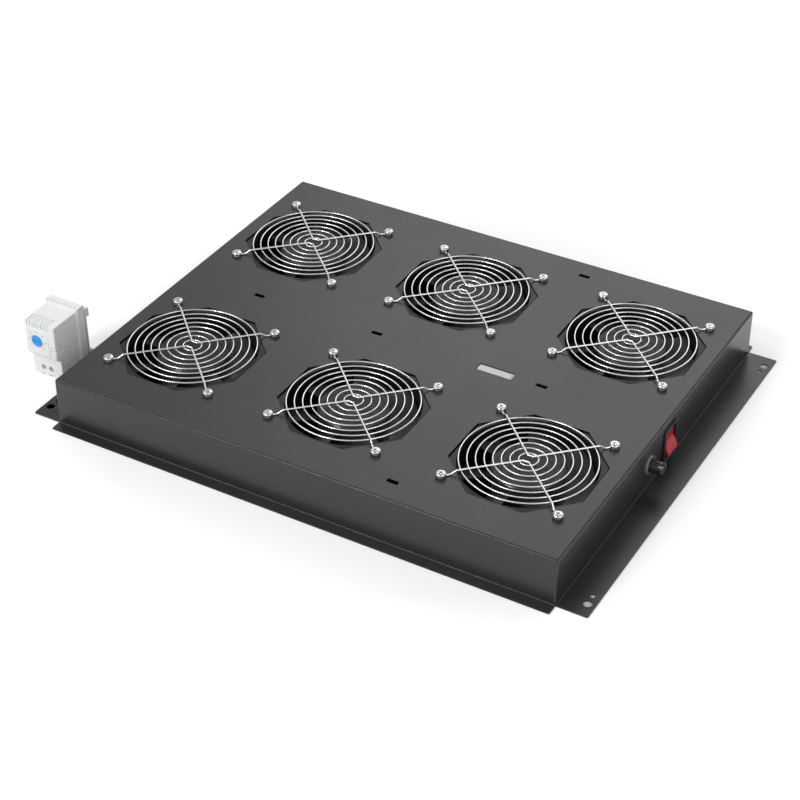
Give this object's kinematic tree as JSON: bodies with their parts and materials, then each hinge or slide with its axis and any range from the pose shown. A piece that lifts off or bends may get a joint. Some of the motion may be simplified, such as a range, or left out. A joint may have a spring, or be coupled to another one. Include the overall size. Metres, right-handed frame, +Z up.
{
  "type": "rack fan tray",
  "caption": "Flat steel tray for a rack roof that carries two rows of axial fans under wire finger guards, with a rocker switch, a fuse holder and a rail thermostat.",
  "frame": {"origin": "centre of the four large fixing holes, at the underside of the foot flanges", "axes": "+X along the long side towards the end wall with the switch and fuse, +Y towards the back row of fans, +Z up, the way the air leaves through the guards"},
  "size_m": [0.5801, 0.4212, 0.0631],
  "materials": {
    "powder_coat": "fine-textured black powder coat",
    "guard_wire": "bright zinc and chrome plated wire",
    "zinc_fixings": "bright zinc plate",
    "fan_casting": "satin black paint on a casting",
    "fan_plastic": "satin moulded plastic",
    "bearing_bronze": "sintered bronze",
    "motor_steel": "laminated electrical steel",
    "nylon": "natural nylon",
    "switch_black": "black moulding",
    "rocker_red": "translucent red moulding",
    "contact_metal": "tinned brass",
    "fuse_black": "black phenolic moulding",
    "fuse_glass": "clear glass with metal ends",
    "grommet_rubber": "soft black rubber",
    "thermostat_grey": "light grey moulding",
    "dial_blue": "blue moulding",
    "screw_steel": "zinc plate"
  },
  "bodies": {
    "tray": {"cable_grommet": "grommet_rubber", "fan_bush_1": "bearing_bronze", "fan_bush_2": "bearing_bronze", "fan_bush_3": "bearing_bronze", "fan_bush_4": "bearing_bronze", "fan_bush_5": "bearing_bronze", "fan_bush_6": "bearing_bronze", "fan_frame_1": "fan_casting", "fan_frame_2": "fan_casting", "fan_frame_3": "fan_casting", "fan_frame_4": "fan_casting", "fan_frame_5": "fan_casting", "fan_frame_6": "fan_casting", "fan_stator_1": "motor_steel", "fan_stator_2": "motor_steel", "fan_stator_3": "motor_steel", "fan_stator_4": "motor_steel", "fan_stator_5": "motor_steel", "fan_stator_6": "motor_steel", "finger_guard_1": "guard_wire", "finger_guard_2": "guard_wire", "finger_guard_3": "guard_wire", "finger_guard_4": "guard_wire", "finger_guard_5": "guard_wire", "finger_guard_6": "guard_wire", "fuse_holder": "fuse_black", "fuse_holder_nut": "fuse_black", "guard_nuts": "zinc_fixings", "guard_screws": "zinc_fixings", "motor_mount_1": "fan_casting", "motor_mount_2": "fan_casting", "motor_mount_3": "fan_casting", "motor_mount_4": "fan_casting", "motor_mount_5": "fan_casting", "motor_mount_6": "fan_casting", "switch_housing": "switch_black", "switch_terminals": "contact_metal", "terminal_block": "nylon", "terminal_screws": "screw_steel", "thermostat_base": "thermostat_grey", "thermostat_housing": "thermostat_grey", "thermostat_screws": "screw_steel", "tray_back_wall": "powder_coat", "tray_front_wall": "powder_coat", "tray_left_end": "powder_coat", "tray_switch_end": "powder_coat", "tray_top": "powder_coat"},
    "rocker": {"switch_rocker": "rocker_red"},
    "fuse_drawer": {"fuse_carrier": "fuse_black", "fuse_link": "fuse_glass"},
    "fuse_cap": {"fuse_cap": "fuse_black"},
    "dial": {"thermostat_dial": "dial_blue"},
    "rotor_1": {"fan_rotor_1": "fan_plastic"},
    "rotor_2": {"fan_rotor_2": "fan_plastic"},
    "rotor_3": {"fan_rotor_3": "fan_plastic"},
    "rotor_4": {"fan_rotor_4": "fan_plastic"},
    "rotor_5": {"fan_rotor_5": "fan_plastic"},
    "rotor_6": {"fan_rotor_6": "fan_plastic"}
  },
  "joints": [
    {"name": "fan_spin_1", "type": "hinge", "parent": "tray", "child": "rotor_1", "pos_m": [-0.1657, -0.1004, 0.0448], "axis": [0, 0, 1], "continuous": true},
    {"name": "fan_spin_2", "type": "hinge", "parent": "tray", "child": "rotor_2", "pos_m": [0, -0.1004, 0.0448], "axis": [0, 0, 1], "continuous": true},
    {"name": "fan_spin_3", "type": "hinge", "parent": "tray", "child": "rotor_3", "pos_m": [0.1657, -0.1004, 0.0448], "axis": [0, 0, 1], "continuous": true},
    {"name": "fan_spin_4", "type": "hinge", "parent": "tray", "child": "rotor_4", "pos_m": [-0.1657, 0.1004, 0.0448], "axis": [0, 0, 1], "continuous": true},
    {"name": "fan_spin_5", "type": "hinge", "parent": "tray", "child": "rotor_5", "pos_m": [0, 0.1004, 0.0448], "axis": [0, 0, 1], "continuous": true},
    {"name": "fan_spin_6", "type": "hinge", "parent": "tray", "child": "rotor_6", "pos_m": [0.1657, 0.1004, 0.0448], "axis": [0, 0, 1], "continuous": true},
    {"name": "switch_rock", "type": "hinge", "parent": "tray", "child": "rocker", "pos_m": [0.2368, 0.014, 0.0225], "axis": [0, 1, 0], "range_deg": [0, 24]},
    {"name": "fuse_draw", "type": "slide", "parent": "tray", "child": "fuse_drawer", "axis": [1, 0, 0], "range_m": [0, 0.032]},
    {"name": "fuse_cap_turn", "type": "hinge", "parent": "fuse_drawer", "child": "fuse_cap", "pos_m": [0.2413, -0.0262, 0.0225], "axis": [1, 0, 0], "range_deg": [0, 90]},
    {"name": "dial_turn", "type": "hinge", "parent": "tray", "child": "dial", "pos_m": [-0.2961, -0.1544, 0.0416], "axis": [0, -1, 0], "range_deg": [-135, 135]}
  ]
}
